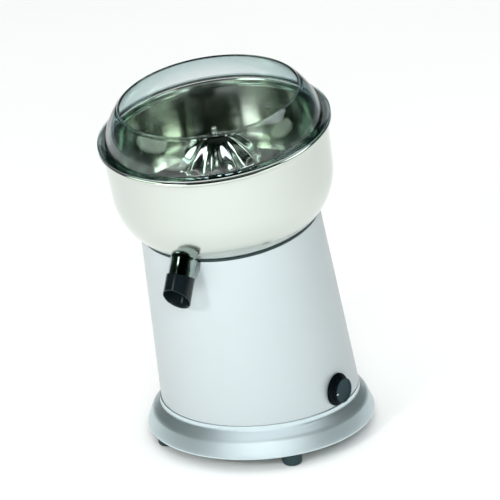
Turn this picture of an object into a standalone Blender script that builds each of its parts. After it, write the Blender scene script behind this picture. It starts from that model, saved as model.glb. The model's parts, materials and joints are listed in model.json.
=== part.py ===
"""Citrus press juicer: a leaning motor column on a round base, with a bowl, reamer and splash guard.

Metres, +Z up. The floor is z = 0, the front (spout side) faces -Y and the switch side faces +X.
The column, its motor and its bowl share one axis, which leans forward over the base.
Azimuths are measured about the vertical from the front towards +X.
"""
import math

import bmesh
import bpy
from mathutils import Matrix, Vector

# ---- driving dimensions ----
LEAN = math.radians(9.6)            # forward lean of the column's axis
BASE_Y = 0.0233                     # base centre, so that the origin is under the middle of the whole object
GAP = 0.0003                        # clearance between neighbouring solids

FOOT_H = 0.015                      # the base ring's lower edge above the floor
FOOT_R = 0.0105
FOOT_BOSS_R = 0.0075
FOOT_SCREW_TOP = 0.0285
FOOT_CIRCLE = 0.1022
FOOT_AZIMUTHS = {"front_left": -45, "front_right": 45, "rear_right": 135, "rear_left": 225}
BASE_R = 0.118
BOSS_TOP = 0.0332                   # top of the bosses that take the foot screws
BASE_TOP = 0.045                    # the collar's top, where the column stands
COLLAR_R = 0.1032
SHELF_R = 0.086
COVER_R = 0.1128
COVER_T = 0.002
COVER_LOW = FOOT_H + 0.001
COVER_TOP = COVER_LOW + COVER_T

COLUMN_FOOT_R = 0.1022
COLUMN_TOP_R = 0.0905
COLUMN_TOP = 0.2006                 # heights from here on are measured along the leaning axis
COLUMN_WALL = 0.0035
DECK_TOP = 0.1905
DECK_T = 0.006
HUB_R = 0.020
HUB_TOP = 0.236

BOWL_T = 0.0016
CORNER_R = 0.0655                   # centre of the bowl's rounded lower corner
CORNER_H = 0.250
CORNER_A = 0.0451                   # radial half-axis of the corner's quarter ellipse
CORNER_B = 0.056                    # axial half-axis
RIM_H = 0.2987
RIM_R = 0.116
BEAD_R = 0.0027
CHIMNEY_R = 0.0226
CHIMNEY_TOP = 0.246
TUBE_FLANGE_R = 0.0285
TUBE_FLANGE_T = 0.0012
STRAINER_LOW = 0.2025
STRAINER_EDGE = 0.2205
STRAINER_T = 0.0012

GUARD_T = 0.0024
GUARD_TOP = 0.3367
GUARD_TOP_R = 0.0903
GUARD_FOOT_R = 0.1078
GUARD_SKIRT = 0.2935                # lower edge of the locating skirt inside the bowl

REAMER_R = 0.0412
REAMER_FOOT = 0.2604
REAMER_H = 0.0345
REAMER_RIBS = 10
FLUTE_DEPTH = 0.17                  # as a share of the local radius
STEM_R = 0.012
SOCKET_R = 0.0053
SOCKET_TOP = 0.284

SHAFT_R = 0.005
SHAFT_BODY_R = 0.007
BEARING_R = 0.013
BEARING_W = 0.008
UPPER_BEARING = 0.1755
LOWER_BEARING = 0.0763
PIN_R = 0.002
PIN_H = 0.241
MOTOR_SCREW_CIRCLE = 0.068
MOTOR_SCREW_AZIMUTHS = (45, 135, 225, 315)
FAN_BLADES = 6
PLATE_H = 0.1697
PLATE_T = 0.004
CAN_R = 0.0604
CAN_FLOOR = 0.085
CORE_R = 0.058
CORE_BORE_R = 0.0303
CORE_LOW, CORE_HIGH = 0.105, 0.150

SPOUT_R = 0.0128
SPOUT_T = 0.0015
SLEEVE_R = 0.0141
SPOUT_WALL_POINT = (0.094, 0.2066)  # radius and height where the spout leaves the bowl
SPOUT_DOWN = math.radians(47)       # the spout's first direction, below the radial
SPOUT_MOUTH = (0.1230, 0.1733)
MOUTH_SLANT = math.radians(28)      # the mouth is cut longer on the side next to the column
SLEEVE_SHORT = 0.0025               # how far the slanted ends stop short of the mouth on the centre line
PIPE_SHORT = 0.0160
NOTCH_POINT = (0.0985, 0.2006)
NOTCH_DOWN = math.radians(62)
NOTCH_R = 0.0165
SLEEVE_START = 2                    # the sleeve starts at this point of the spout's bend

SWITCH_AZIMUTH = 81
SWITCH_H = 0.0202
KNOB_SKIRT_R = 0.0168
KNOB_GRIP_R = 0.0128
KNOB_FACE = 0.0096                  # the knob's face above the wall it turns on
GLAND_H = 0.026
GLAND_BORE_R = 0.005
BODY_SCREW_CIRCLE = 0.0925
BODY_SCREW_AZIMUTHS = (30, 150, 210, 330)

FINE = 32
MEDIUM = 16
SMALL = 12


# ---- scene and helpers ----
def clear_scene():
    for obj in list(bpy.data.objects):
        bpy.data.objects.remove(obj, do_unlink=True)


def new_collection(name):
    collection = bpy.data.collections.new(name)
    bpy.context.scene.collection.children.link(collection)
    return collection


clear_scene()
PARTS = new_collection("citrus_press_juicer")
CUTTERS = new_collection("cutters")


def new_empty(name, location, rotation=(0, 0, 0)):
    empty = bpy.data.objects.new(name, None)
    empty.location = location
    empty.rotation_euler = rotation
    PARTS.objects.link(empty)
    return empty


BASE = new_empty("base_centre", (0, BASE_Y, 0))
COLUMN = new_empty("column_axis", (0, BASE_Y, BASE_TOP), (LEAN, 0, 0))


def principled(name, colour, roughness, metallic=0.0, alpha=1.0):
    material = bpy.data.materials.new(name)
    material.use_nodes = True
    shader = material.node_tree.nodes["Principled BSDF"]
    shader.inputs["Base Color"].default_value = (*colour, 1.0)
    shader.inputs["Roughness"].default_value = roughness
    shader.inputs["Metallic"].default_value = metallic
    shader.inputs["Alpha"].default_value = alpha
    return material


def polished_steel(name):
    return principled(name, (0.78, 0.79, 0.78), 0.12, 1.0)


def silver_paint(name):
    return principled(name, (0.68, 0.72, 0.73), 0.35, 0.4)


def black_rubber(name):
    return principled(name, (0.03, 0.045, 0.05), 0.6)


def black_plastic(name):
    return principled(name, (0.02, 0.025, 0.028), 0.35)


def zinc_steel(name):
    return principled(name, (0.6, 0.6, 0.58), 0.3, 1.0)


def cast_aluminium(name):
    return principled(name, (0.66, 0.68, 0.69), 0.4, 0.9)


def copper(name):
    return principled(name, (0.72, 0.33, 0.18), 0.35, 1.0)


def add_object(name, mesh, material=None, parent=None, location=(0, 0, 0), cutter=False):
    obj = bpy.data.objects.new(name, mesh)
    (CUTTERS if cutter else PARTS).objects.link(obj)
    obj.parent = parent
    obj.location = location
    if material:
        mesh.materials.append(material)
    if cutter:
        obj.hide_render = True
        obj.display_type = "WIRE"
    elif mesh.polygons:
        mesh.shade_smooth()
        mesh.set_sharp_from_angle(angle=math.radians(35))
    return obj


def profile_mesh(name, profile, closed, shift):
    """Edges in the XZ plane from (radius, height) pairs, lowered by shift."""
    mesh = bpy.data.meshes.new(name)
    bm = bmesh.new()
    verts = [bm.verts.new((radius, 0, height - shift)) for radius, height in profile]
    for first, second in zip(verts, verts[1:]):
        bm.edges.new((first, second))
    if closed:
        bm.edges.new((verts[-1], verts[0]))
    bm.to_mesh(mesh)
    bm.free()
    return mesh


def turned(name, profile, material=None, parent=COLUMN, steps=FINE, closed=True, at=0.0, cutter=False):
    """A turned solid with its origin on the axis at height at; a closed profile makes a ring."""
    mesh = profile_mesh(name, profile, closed, at)
    obj = add_object(name, mesh, material, parent, (0, 0, at), cutter)
    screw = obj.modifiers.new("turn", "SCREW")
    screw.axis = "Z"
    screw.angle = math.tau
    screw.steps = steps
    screw.render_steps = steps
    screw.use_merge_vertices = True
    screw.merge_threshold = 0.00001
    return obj


def ring_profile(inner, outer, low, high):
    return [(outer, high), (outer, low), (inner, low), (inner, high)]


def rod_mesh(name, radius, length, sides, top_radius=None):
    """A capped cylinder or cone along Z, from 0 up to length."""
    mesh = bpy.data.meshes.new(name)
    bm = bmesh.new()
    bmesh.ops.create_cone(
        bm, cap_ends=True, segments=sides, radius1=radius,
        radius2=radius if top_radius is None else top_radius, depth=length,
        matrix=Matrix.Translation((0, 0, length / 2)),
    )
    bm.to_mesh(mesh)
    bm.free()
    return mesh


def box_mesh(name, size, centre=(0, 0, 0)):
    mesh = bpy.data.meshes.new(name)
    bm = bmesh.new()
    bmesh.ops.create_cube(bm, size=1, matrix=Matrix.Translation(centre) @ Matrix.Diagonal((*size, 1)))
    bm.to_mesh(mesh)
    bm.free()
    return mesh


def point_along(obj, direction):
    obj.rotation_euler = Vector(direction).to_track_quat("Z", "Y").to_euler()


def cut(obj, cutter):
    modifier = obj.modifiers.new("cut_" + cutter.name, "BOOLEAN")
    modifier.operation = "DIFFERENCE"
    modifier.solver = "EXACT"
    modifier.object = cutter


def join(obj, addition):
    modifier = obj.modifiers.new("join_" + addition.name, "BOOLEAN")
    modifier.operation = "UNION"
    modifier.solver = "EXACT"
    modifier.object = addition


def rod_cutter(name, radius, length, location, parent, direction=(0, 0, 1), sides=SMALL):
    cutter = add_object(name, rod_mesh(name, radius, length, sides), None, parent, location, True)
    point_along(cutter, direction)
    return cutter


def rods(name, radius, length, places, parent, sides=SMALL):
    """One helper solid of upright rods, each standing on one of the places."""
    mesh = bpy.data.meshes.new(name)
    bm = bmesh.new()
    for place in places:
        middle = Matrix.Translation(Vector(place) + Vector((0, 0, length / 2)))
        bmesh.ops.create_cone(
            bm, cap_ends=True, segments=sides, radius1=radius, radius2=radius, depth=length, matrix=middle,
        )
    bm.to_mesh(mesh)
    bm.free()
    return add_object(name, mesh, None, parent, (0, 0, 0), True)


def around(radius, azimuth, height):
    """The point at this radius and azimuth, in degrees from the front."""
    turn = math.radians(azimuth)
    return Vector((radius * math.sin(turn), -radius * math.cos(turn), height))


def column_radius(height):
    return COLUMN_FOOT_R + (COLUMN_TOP_R - COLUMN_FOOT_R) * height / COLUMN_TOP


def corner_point(angle, inset=0.0):
    """A point of the bowl's lower corner; 0 is the side wall and pi / 2 the floor."""
    return (
        CORNER_R + (CORNER_A - inset) * math.cos(angle),
        CORNER_H - (CORNER_B - inset) * math.sin(angle),
    )


def corner_radius(height, inset):
    share = (CORNER_H - height) / (CORNER_B - inset)
    return CORNER_R + (CORNER_A - inset) * math.sqrt(1 - share ** 2)


def arc(centre, radius, start, end, count):
    """Points from start to end degrees, both included."""
    angles = [math.radians(start + (end - start) * i / (count - 1)) for i in range(count)]
    return [(centre[0] + radius * math.cos(a), centre[1] + radius * math.sin(a)) for a in angles]


def bezier(start, control, end, count):
    points = []
    for i in range(count):
        t = i / (count - 1)
        a, b, c = (1 - t) ** 2, 2 * t * (1 - t), t * t
        points.append(tuple(a * p + b * q + c * r for p, q, r in zip(start, control, end)))
    return points


# ---- base ----
def foot_places(height):
    return [around(FOOT_CIRCLE, azimuth, height) for azimuth in FOOT_AZIMUTHS.values()]


def body_screw_places(height):
    return [around(BODY_SCREW_CIRCLE, azimuth, height) for azimuth in BODY_SCREW_AZIMUTHS]


def motor_screw_places(height):
    return [around(MOTOR_SCREW_CIRCLE, azimuth, height) for azimuth in MOTOR_SCREW_AZIMUTHS]


def make_base_ring():
    outer = [
        (COLLAR_R, BASE_TOP), (COLLAR_R, 0.0408), (0.1038, 0.0394), (0.1050, 0.0384),
        (0.1106, 0.0328), (0.1124, 0.0302), (0.1170, 0.0190), (BASE_R, 0.0162), (BASE_R, FOOT_H),
    ]
    inner = [
        (0.1135, FOOT_H), (0.1132, 0.0180), (0.1085, 0.0300), (0.1012, 0.0368), (0.0992, 0.0385),
        (0.0992, 0.0410), (SHELF_R, 0.0410), (SHELF_R, BASE_TOP),
    ]
    ring = turned("base_ring", outer + inner, silver_paint("base_paint"), BASE)
    low = COVER_TOP + GAP
    join(ring, rods("foot_bosses", FOOT_BOSS_R, BOSS_TOP - low, foot_places(low), BASE))
    cut(ring, rods("foot_holes", 0.00235, FOOT_SCREW_TOP + 0.0008 - 0.017, foot_places(0.017), BASE, 8))
    cut(ring, rods("shelf_holes", 0.0021, 0.008, body_screw_places(0.039), BASE, 8))


def make_bottom_cover():
    mesh = rod_mesh("bottom_cover", COVER_R, COVER_T, FINE)
    cover = add_object("bottom_cover", mesh, zinc_steel("cover_steel"), BASE, (0, 0, COVER_LOW))
    cut(cover, rods("cover_holes", 0.0024, COVER_T + 0.002, foot_places(COVER_LOW - 0.001), BASE, 8))
    for index in range(-3, 4):
        mesh = box_mesh("vent", (0.070, 0.003, 0.006))
        cut(cover, add_object(f"vent_{index}", mesh, None, BASE, (0, index * 0.011, COVER_LOW), True))


def make_feet():
    top = COVER_LOW - GAP
    profile = [
        (FOOT_R - 0.0006, top), (FOOT_R, top - 0.001), (FOOT_R - 0.0004, 0.0016), (FOOT_R - 0.0016, 0.0),
        (0.0058, 0.0), (0.0058, 0.0070), (0.0024, 0.0070), (0.0024, top),
    ]
    screw_profile = [
        (0.0020, FOOT_SCREW_TOP), (0.0020, 0.0067), (0.0046, 0.0067), (0.0046, 0.0040),
        (0.0030, 0.0034), (0.0, 0.0034),
    ]
    for name, azimuth in FOOT_AZIMUTHS.items():
        foot = turned(f"foot_{name}", profile, black_rubber(f"rubber_{name}"), BASE, 14)
        foot.location = around(FOOT_CIRCLE, azimuth, 0)
        screw = turned(
            f"foot_screw_{name}", [(0.0, FOOT_SCREW_TOP)] + screw_profile,
            zinc_steel(f"screw_{name}"), BASE, 8, False,
        )
        screw.location = around(FOOT_CIRCLE, azimuth, 0)


def make_body_screws():
    profile = [
        (0.0, 0.0560), (0.0018, 0.0560), (0.0018, 0.0407),
        (0.0036, 0.0407), (0.0036, 0.0382), (0.0024, 0.0376),
        (0.0, 0.0376),
    ]
    for index, place in enumerate(body_screw_places(0), 1):
        name = f"body_screw_{index}"
        screw = turned(name, profile, zinc_steel(name + "_zinc"), BASE, 8, False)
        screw.location = place


# ---- column ----
def make_body_shell():
    below = -0.020
    deck_low = DECK_TOP - DECK_T
    profile = [
        (COLUMN_TOP_R, COLUMN_TOP), (column_radius(below), below),
        (column_radius(below) - COLUMN_WALL, below), (column_radius(deck_low) - COLUMN_WALL, deck_low),
        (0.024, deck_low), (0.024, 0.174), (BEARING_R + GAP, 0.174), (BEARING_R + GAP, 0.188),
        (0.0075, 0.188), (0.0075, 0.224), (0.0113, 0.224), (0.0113, HUB_TOP),
        (HUB_R - 0.001, HUB_TOP), (HUB_R, HUB_TOP - 0.001), (HUB_R + 0.0005, 0.1925), (0.0225, DECK_TOP),
        (0.0825, DECK_TOP), (0.084, 0.192), (0.084, 0.1962),
    ]
    shell = turned("body_shell", profile, silver_paint("body_paint"))
    foot = BASE_TOP + GAP
    join(shell, rods("motor_bosses", 0.0062, 0.016, motor_screw_places(0.174), COLUMN))
    join(shell, rods("body_bosses", 0.0066, 0.0165, body_screw_places(foot - 0.001), BASE))
    low = box_mesh("below_column", (0.3, 0.3, 0.08), (0, 0, foot - 0.04))
    cut(shell, add_object("below_column", low, None, BASE, (0, 0, 0), True))
    cut(shell, rods("motor_holes", 0.0022, 0.0115, motor_screw_places(0.172), COLUMN, 8))
    cut(shell, rods("body_holes", 0.0021, 0.0125, body_screw_places(BASE_TOP - 0.001), BASE, 8))
    cut(shell, spout_clearance("body_notch"))
    switch_hole = rod_cutter(
        "switch_hole", 0.0064, 0.03, around(0.085, SWITCH_AZIMUTH, SWITCH_H), COLUMN,
        around(1, SWITCH_AZIMUTH, 0), 20,
    )
    cut(shell, switch_hole)
    gland_hole = rod_cutter("gland_hole", 0.0084, 0.03, (0, 0.085, GLAND_H), COLUMN, (0, 1, 0), 20)
    cut(shell, gland_hole)


def make_bowl_gasket():
    lift = 0.00045
    top = []
    for radius in (0.0903, 0.0873, 0.0843):
        angle = math.acos((radius - CORNER_R) / CORNER_A)
        top.append((radius, corner_point(angle)[1] - lift))
    slope = (COLUMN_TOP - 0.1962) / (COLUMN_TOP_R - 0.084)
    seat = [(radius, 0.1962 + slope * (radius - 0.084) + lift) for radius in (0.0903, 0.0843)]
    profile = [top[0], seat[0], seat[1], top[2], top[1]]
    gasket = turned("bowl_gasket", profile, black_rubber("gasket_rubber"))
    cut(gasket, spout_clearance("gasket_notch"))


def make_shaft_seal():
    profile = [
        (0.0110, 0.2357), (0.0110, 0.2243), (0.0080, 0.2243),
        (0.0053, 0.2270), (0.0053, 0.2300), (0.0075, 0.2357),
    ]
    turned("shaft_seal", profile, black_rubber("seal_rubber"), steps=MEDIUM)


# ---- motor ----
def make_bearings():
    for name, low in (("upper_bearing", UPPER_BEARING), ("lower_bearing", LOWER_BEARING)):
        profile = ring_profile(SHAFT_R + GAP, BEARING_R, low, low + BEARING_W)
        turned(name, profile, zinc_steel(name + "_steel"), steps=MEDIUM)


def make_motor_top_plate():
    profile = ring_profile(0.009, 0.075, PLATE_H, PLATE_H + PLATE_T)
    plate = turned("motor_top_plate", profile, cast_aluminium("plate_metal"), steps=MEDIUM)
    cut(plate, rods("plate_holes", 0.0024, 0.008, motor_screw_places(PLATE_H - 0.002), COLUMN, 8))


def make_motor_can():
    top = PLATE_H - GAP
    profile = [
        (0.075, top), (0.075, top - 0.003), (CAN_R + 0.001, top - 0.003), (CAN_R, top - 0.004),
        (CAN_R, CAN_FLOOR + 0.004), (CAN_R - 0.004, CAN_FLOOR), (0.016, CAN_FLOOR), (0.016, 0.074),
        (0.008, 0.074), (0.008, 0.076), (BEARING_R + GAP, 0.076), (BEARING_R + GAP, CAN_FLOOR + 0.0025),
        (0.056, CAN_FLOOR + 0.0025), (CORE_R + GAP, CAN_FLOOR + 0.005), (CORE_R + GAP, top),
    ]
    can = turned("motor_can", profile, zinc_steel("can_steel"), steps=24)
    cut(can, rods("can_holes", 0.0024, 0.009, motor_screw_places(top - 0.006), COLUMN, 8))
    vents = [around(0.037, 90 * index, CAN_FLOOR - 0.004) for index in range(4)]
    cut(can, rods("can_vents", 0.007, 0.012, vents, COLUMN, 10))


def make_motor_screws():
    head = PLATE_H - 0.0036
    profile = [
        (0.0, 0.1825), (0.0019, 0.1825), (0.0019, head), (0.0042, head), (0.0042, head - 0.0028),
        (0.0030, head - 0.0034), (0.0, head - 0.0034),
    ]
    for index, place in enumerate(motor_screw_places(0), 1):
        name = f"motor_screw_{index}"
        screw = turned(name, profile, zinc_steel(name + "_zinc"), steps=8, closed=False)
        screw.location = place


def make_stator():
    profile = ring_profile(CORE_BORE_R, CORE_R, CORE_LOW, CORE_HIGH)
    turned("stator_core", profile, cast_aluminium("core_laminations"), steps=24)
    for name, low, high in (
        ("winding_lower", CORE_LOW - 0.014, CORE_LOW - GAP),
        ("winding_upper", CORE_HIGH + GAP, CORE_HIGH + 0.014),
    ):
        profile = [
            (0.050, high), (0.053, high - 0.004), (0.053, low + 0.004), (0.050, low),
            (0.037, low), (0.034, low + 0.004), (0.034, high - 0.004), (0.037, high),
        ]
        turned(name, profile, copper(name + "_copper"), steps=MEDIUM)


def make_motor_shaft():
    profile = [
        (0.0, 0.283), (SHAFT_R - 0.0008, 0.283), (SHAFT_R, 0.2822), (SHAFT_R, UPPER_BEARING - GAP),
        (SHAFT_BODY_R, UPPER_BEARING - GAP), (SHAFT_BODY_R, LOWER_BEARING + BEARING_W + GAP),
        (SHAFT_R, LOWER_BEARING + BEARING_W + GAP), (SHAFT_R, 0.056), (0.0, 0.056),
    ]
    shaft = turned("motor_shaft", profile, polished_steel("shaft_steel"), steps=MEDIUM, closed=False)
    hole = rod_cutter("pin_hole", PIN_R + GAP, 0.03, (-0.015, 0, PIN_H), COLUMN, (1, 0, 0), 16)
    cut(shaft, hole)


def make_drive_pin():
    mesh = rod_mesh("drive_pin", PIN_R, 0.020, SMALL)
    mesh.transform(Matrix.Translation((0, 0, -0.010)))
    mesh.transform(Matrix.Rotation(math.pi / 2, 4, "Y"))
    add_object("drive_pin", mesh, polished_steel("pin_steel"), COLUMN, (0, 0, PIN_H))


def make_rotor():
    profile = ring_profile(SHAFT_BODY_R + GAP, 0.0297, 0.1035, 0.1515)
    turned("rotor", profile, cast_aluminium("rotor_metal"), steps=24)


def make_cooling_fan():
    profile = [
        (0.012, 0.0695), (0.012, 0.0675), (0.050, 0.0660), (0.050, 0.0648), (0.012, 0.0640), (0.010, 0.0580),
        (SHAFT_R + GAP, 0.0580), (SHAFT_R + GAP, 0.0695),
    ]
    fan = turned("cooling_fan", profile, black_plastic("fan_plastic"), steps=24)
    for index in range(FAN_BLADES):
        mesh = box_mesh("blade", (0.0016, 0.036, 0.010), (0, -0.0295, 0.0605))
        blade = add_object(f"blade_{index}", mesh, None, COLUMN, (0, 0, 0), True)
        blade.rotation_euler = (0, 0, math.tau * index / FAN_BLADES)
        join(fan, blade)


def make_capacitor():
    radius = 0.0165
    middle = Vector((-0.035, 0.012, 0.0415))
    mesh = rod_mesh("run_capacitor", radius, 0.062, 20)
    capacitor = add_object("run_capacitor", mesh, cast_aluminium("capacitor_can"), BASE)
    capacitor.location = middle + Vector((0, -0.031, 0))
    point_along(capacitor, (0, 1, 0))
    clip_mesh = box_mesh("capacitor_clip", (0.050, 0.012, 0.0125), (0, 0, 0.00625))
    low = COVER_TOP + GAP
    clip = add_object("capacitor_clip", clip_mesh, zinc_steel("clip_steel"), BASE, (middle.x, middle.y, low))
    place = middle + Vector((0, -0.02, 0))
    cut(clip, rod_cutter("clip_seat", radius + GAP, 0.04, place, BASE, (0, 1, 0), 32))


def make_terminal_block():
    low = COVER_TOP + GAP
    mesh = box_mesh("terminal_block", (0.044, 0.018, 0.016), (0, 0, 0.008))
    block = add_object("terminal_block", mesh, principled("block_plastic", (0.8, 0.78, 0.7), 0.5), BASE)
    block.location = (0.030, 0.045, low)
    for index in range(3):
        place = (0.030 + (index - 1) * 0.013, 0.045, low + 0.008)
        cut(block, rod_cutter(f"terminal_{index}", 0.0028, 0.02, place, BASE))


# ---- bowl, strainer and spout ----
def spout_path():
    """Centre line of the spout in the front plane, from inside the bowl to its mouth."""
    wall = Vector((0, -SPOUT_WALL_POINT[0], SPOUT_WALL_POINT[1]))
    along = Vector((0, -math.cos(SPOUT_DOWN), -math.sin(SPOUT_DOWN)))
    start = wall - along * 0.004
    bend = wall + along * 0.012
    mouth = Vector((0, -SPOUT_MOUTH[0], SPOUT_MOUTH[1]))
    corner = wall + along * 0.030
    return [start] + [Vector(p) for p in bezier(bend, corner, mouth, 6)]


def swept_mesh(name, points, radius, sides):
    """A capped round tube mesh along points, in the column's own coordinates."""
    curve = bpy.data.curves.new(name, "CURVE")
    curve.dimensions = "3D"
    curve.bevel_depth = radius
    curve.bevel_resolution = sides // 4
    curve.use_fill_caps = True
    spline = curve.splines.new("POLY")
    spline.points.add(len(points) - 1)
    for point, place in zip(spline.points, points):
        point.co = (*place, 1)
    rail = bpy.data.objects.new(name, curve)
    CUTTERS.objects.link(rail)
    bpy.context.view_layer.update()
    depsgraph = bpy.context.evaluated_depsgraph_get()
    mesh = bpy.data.meshes.new_from_object(rail.evaluated_get(depsgraph))
    bpy.data.objects.remove(rail, do_unlink=True)
    bm = bmesh.new()
    bm.from_mesh(mesh)
    bmesh.ops.remove_doubles(bm, verts=bm.verts, dist=0.00001)
    bmesh.ops.recalc_face_normals(bm, faces=bm.faces)
    bm.to_mesh(mesh)
    bm.free()
    return mesh


def spout_clearance(name):
    """A rod that clears a slot for the spout in the column's top edge, steeper than the spout itself."""
    middle = Vector((0, -NOTCH_POINT[0], NOTCH_POINT[1]))
    along = Vector((0, -math.cos(NOTCH_DOWN), -math.sin(NOTCH_DOWN)))
    return rod_cutter(name, NOTCH_R, 0.07, middle - along * 0.020, COLUMN, along, 28)


def mouth_cutter(name, path, beyond):
    """A block that cuts a tube off at a slant, this far beyond the path's last point."""
    along = (path[-1] - path[-2]).normalized()
    outward = Vector((0, along.z, -along.y))
    block = box_mesh(name, (0.06, 0.06, 0.03), (0, 0, 0.015))
    cutter = add_object(name, block, None, COLUMN, path[-1] + along * beyond, True)
    point_along(cutter, along * math.cos(MOUTH_SLANT) + outward * math.sin(MOUTH_SLANT))
    return cutter


def make_bowl():
    bead = (RIM_R - BEAD_R, RIM_H)
    wall_top = (0.1124, RIM_H - BEAD_R - 0.0004)
    angles = [math.pi / 2 * i / 6 for i in range(7)]
    outer = arc(bead, BEAD_R, 160, -110, 6) + [wall_top] + [corner_point(a) for a in angles]
    floor = CORNER_H - CORNER_B
    hole = CHIMNEY_R + BOWL_T + GAP
    inner = [corner_point(a, BOWL_T) for a in reversed(angles)]
    profile = outer + [(hole, floor), (hole, floor + BOWL_T)] + inner
    bowl = turned("bowl", profile, polished_steel("bowl_steel"))
    wall = Vector((0, -SPOUT_WALL_POINT[0], SPOUT_WALL_POINT[1]))
    along = Vector((0, -math.cos(SPOUT_DOWN), -math.sin(SPOUT_DOWN)))
    drain = rod_cutter("drain_hole", SPOUT_R + GAP, 0.03, wall - along * 0.015, COLUMN, along, 28)
    cut(bowl, drain)


def make_bowl_tube():
    floor = CORNER_H - CORNER_B
    seat = floor + BOWL_T + GAP
    outside = CHIMNEY_R + BOWL_T
    profile = [
        (outside, CHIMNEY_TOP), (outside, seat + TUBE_FLANGE_T), (TUBE_FLANGE_R, seat + TUBE_FLANGE_T),
        (TUBE_FLANGE_R, seat), (outside, seat), (outside, floor),
        (CHIMNEY_R, floor), (CHIMNEY_R, CHIMNEY_TOP),
    ]
    turned("bowl_tube", profile, polished_steel("tube_steel"), steps=24)


def make_strainer():
    inner = CHIMNEY_R + BOWL_T + 0.0006
    low = STRAINER_LOW
    edge = corner_radius(STRAINER_EDGE, BOWL_T + 3 * GAP)
    profile = [
        (edge, STRAINER_EDGE + STRAINER_T), (edge, STRAINER_EDGE), (0.0730, low), (inner + STRAINER_T, low),
        (inner, low + STRAINER_T), (inner, low + 0.0075), (inner + STRAINER_T, low + 0.0075),
        (inner + STRAINER_T, low + 2 * STRAINER_T), (0.0725, low + STRAINER_T),
        (edge - 0.0009, STRAINER_EDGE + STRAINER_T),
    ]
    strainer = turned("strainer", profile, polished_steel("strainer_steel"))
    holes = [around(0.042, 45 * index, low - 0.0025) for index in range(8)]
    holes += [around(0.060, 30 * index + 15, low - 0.0025) for index in range(12)]
    cut(strainer, rods("sieve_holes", 0.0026, 0.006, holes, COLUMN, 6))


def make_spout():
    path = spout_path()
    past_mouth = path[-1] + (path[-1] - path[-2]).normalized() * 0.010
    pipe_mesh = swept_mesh("spout_pipe", path + [past_mouth], SPOUT_R, 20)
    pipe = add_object("spout_pipe", pipe_mesh, polished_steel("spout_steel"), COLUMN)
    longer = [path[0] + (path[0] - path[1])] + path + [past_mouth + (past_mouth - path[-1])]
    bore_mesh = swept_mesh("spout_bore", longer, SPOUT_R - SPOUT_T, 20)
    cut(pipe, add_object("spout_bore", bore_mesh, None, COLUMN, (0, 0, 0), True))
    cut(pipe, mouth_cutter("pipe_mouth", path, -PIPE_SHORT))
    end = (path[-1] - path[-2]).normalized() * 0.014
    sleeve_path = path[SLEEVE_START:] + [path[-1] + end]
    sleeve_mesh = swept_mesh("spout_sleeve", sleeve_path, SLEEVE_R, 20)
    sleeve = add_object("spout_sleeve", sleeve_mesh, black_rubber("sleeve_rubber"), COLUMN)
    past = sleeve_path[-1] + end
    wide_mesh = swept_mesh("sleeve_bore", path[SLEEVE_START - 1:] + [past], SPOUT_R + GAP, 20)
    cut(sleeve, mouth_cutter("sleeve_mouth", path, -SLEEVE_SHORT))
    cut(sleeve, add_object("sleeve_bore", wide_mesh, None, COLUMN, (0, 0, 0), True))


# ---- splash guard and reamer ----
def make_splash_guard():
    seat = RIM_H + BEAD_R + GAP
    flange_top = seat + 0.0020
    wall_foot = (GUARD_FOOT_R + 0.0004, flange_top)
    outer = bezier((GUARD_TOP_R, GUARD_TOP), (0.1045, GUARD_TOP - 0.0150), wall_foot, 6)
    flange = [(RIM_R - 0.0008, flange_top), (RIM_R - 0.0002, flange_top - 0.0006), (RIM_R - 0.0002, seat)]
    skirt = [
        (GUARD_FOOT_R, seat), (GUARD_FOOT_R, GUARD_SKIRT),
        (GUARD_FOOT_R - GUARD_T, GUARD_SKIRT), (GUARD_FOOT_R - GUARD_T, flange_top),
    ]
    top = (GUARD_TOP_R - GUARD_T, GUARD_TOP)
    inner = bezier(skirt[-1], (0.1045 - GUARD_T, GUARD_TOP - 0.0156), top, 6)[1:]
    material = principled("guard_acrylic", (0.62, 0.74, 0.71), 0.05, 0.0, 0.35)
    turned("splash_guard", outer + flange + skirt + inner, material, at=seat)


def dome_radius(height):
    """Radius of the reamer's dome at a height above its widest circle."""
    share = min(max(height / REAMER_H, 0.0), 1.0)
    return REAMER_R * (1 - share ** 1.75) ** 0.72


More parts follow.
